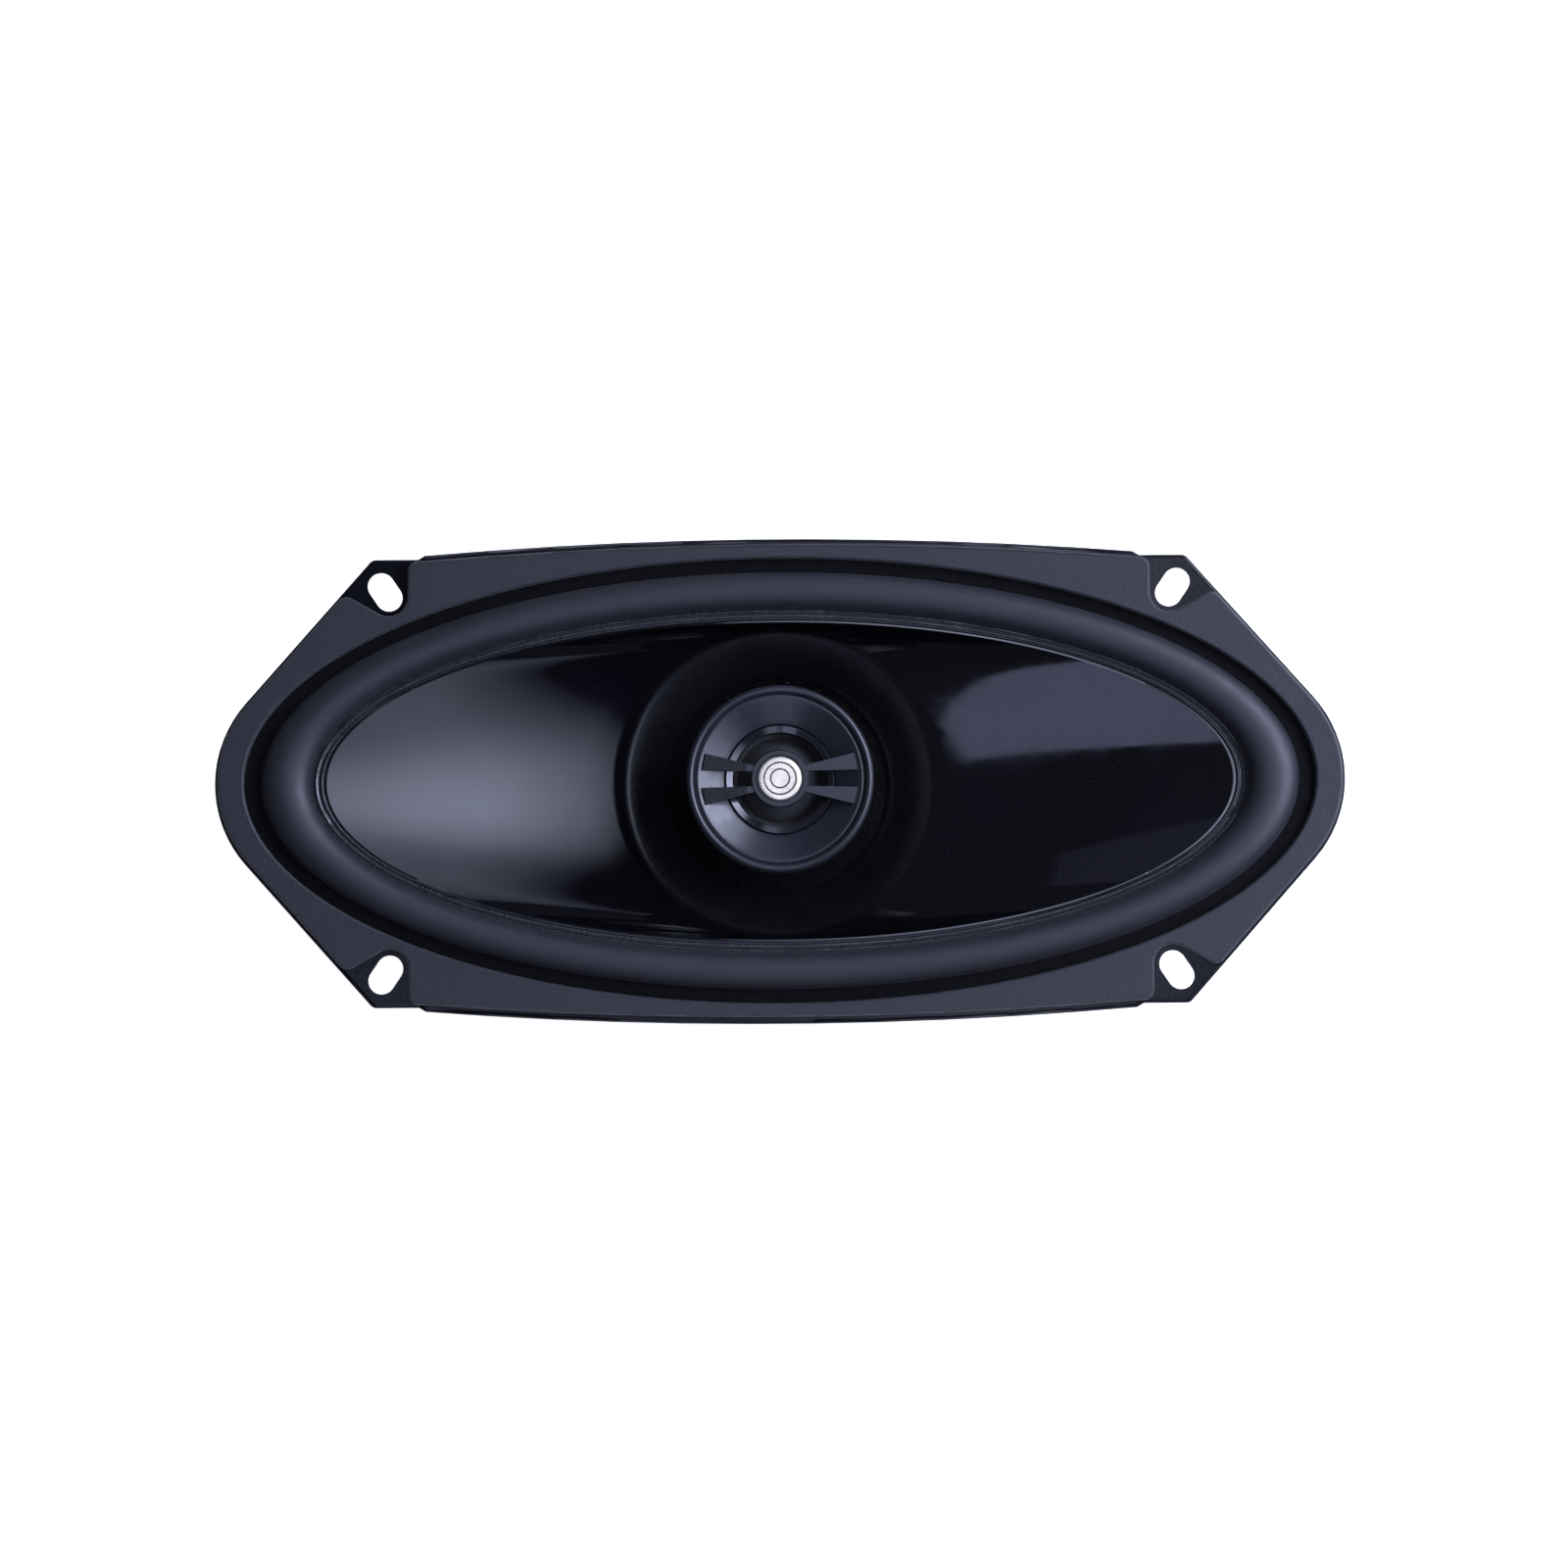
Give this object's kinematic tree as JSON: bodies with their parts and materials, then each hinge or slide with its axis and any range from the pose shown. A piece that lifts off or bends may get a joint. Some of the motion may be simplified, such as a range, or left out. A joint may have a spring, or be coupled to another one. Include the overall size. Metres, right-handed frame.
{
  "type": "coaxial car speaker",
  "caption": "Elliptical 4 x 10 inch coaxial car speaker: steel basket, glossy cone in a half-roll surround, and a dome tweeter pod on a centre post.",
  "frame": {"origin": "centre of the mounting plane, which is the lower edge of the flange's turned lip", "axes": "+Z is the listening axis, out of the cone; +X runs along the long side, towards the terminals; +Y is across"},
  "size_m": [0.258, 0.111, 0.0681],
  "materials": {
    "painted_steel": "semi-gloss black paint",
    "gasket_foam": "matt moulded foam rubber",
    "plated_steel": "zinc plated",
    "blackened_steel": "black plated",
    "ferrite": "sintered, matt",
    "cone_plastic": "high gloss injection moulded",
    "surround_rubber": "satin rubber",
    "spider_cloth": "resin treated woven cotton",
    "former_foil": "thin rolled foil",
    "copper_wire": "enamelled copper",
    "tinsel_braid": "woven tinsel",
    "pod_plastic": "satin moulded",
    "pod_gloss": "polished moulded",
    "badge_metal": "bright spun",
    "fibre_board": "pressed fibre",
    "tinned_blade": "tin plated",
    "capacitor_sleeve": "shrunk sleeve",
    "lead_red": "smooth insulation",
    "lead_black": "smooth insulation",
    "nickel_magnet": "nickel plated",
    "silk": "coated silk",
    "paper_collar": "glued paper"
  },
  "bodies": {
    "speaker_frame": {"basket": "painted_steel", "front_gasket": "gasket_foam", "top_plate": "blackened_steel", "ferrite_magnet": "ferrite", "yoke": "blackened_steel", "plate_rivets": "plated_steel", "tweeter_post": "plated_steel", "post_nut": "plated_steel", "tweeter_housing": "pod_plastic", "tweeter_terminal_plate": "fibre_board", "tweeter_solder_tags": "tinned_blade", "tweeter_bezel": "pod_plastic", "throat_ring": "pod_gloss", "phase_bridge": "pod_plastic", "centre_badge": "badge_metal", "tweeter_cup": "plated_steel", "tweeter_magnet": "nickel_magnet", "tweeter_pole_plate": "plated_steel", "diaphragm_ring": "pod_plastic", "terminal_board": "fibre_board", "positive_terminal": "tinned_blade", "negative_terminal": "tinned_blade", "terminal_rivets": "plated_steel", "crossover_capacitor": "capacitor_sleeve", "tweeter_lead_positive": "lead_red", "tweeter_lead_negative": "lead_black", "capacitor_lead": "lead_black"},
    "woofer_cone": {"cone": "cone_plastic", "voice_coil_former": "former_foil", "voice_coil_winding": "copper_wire", "neck_collar": "paper_collar", "woofer_surround": "surround_rubber", "spider": "spider_cloth", "tinsel_lead_positive": "tinsel_braid", "tinsel_lead_negative": "tinsel_braid"},
    "tweeter_diaphragm": {"tweeter_dome": "silk", "tweeter_coil_former": "former_foil", "tweeter_coil_winding": "copper_wire", "tweeter_surround": "silk"}
  },
  "joints": [
    {"name": "cone_excursion", "type": "slide", "parent": "speaker_frame", "child": "woofer_cone", "axis": [0, 0, 1], "range_m": [-0.004, 0.004], "stiffness_N_per_m": 2000, "deforming": ["woofer_surround", "spider", "tinsel_lead_positive", "tinsel_lead_negative"]},
    {"name": "dome_excursion", "type": "slide", "parent": "speaker_frame", "child": "tweeter_diaphragm", "axis": [0, 0, 1], "range_m": [-0.00025, 0.00025], "stiffness_N_per_m": 2000, "deforming": ["tweeter_surround"]}
  ]
}
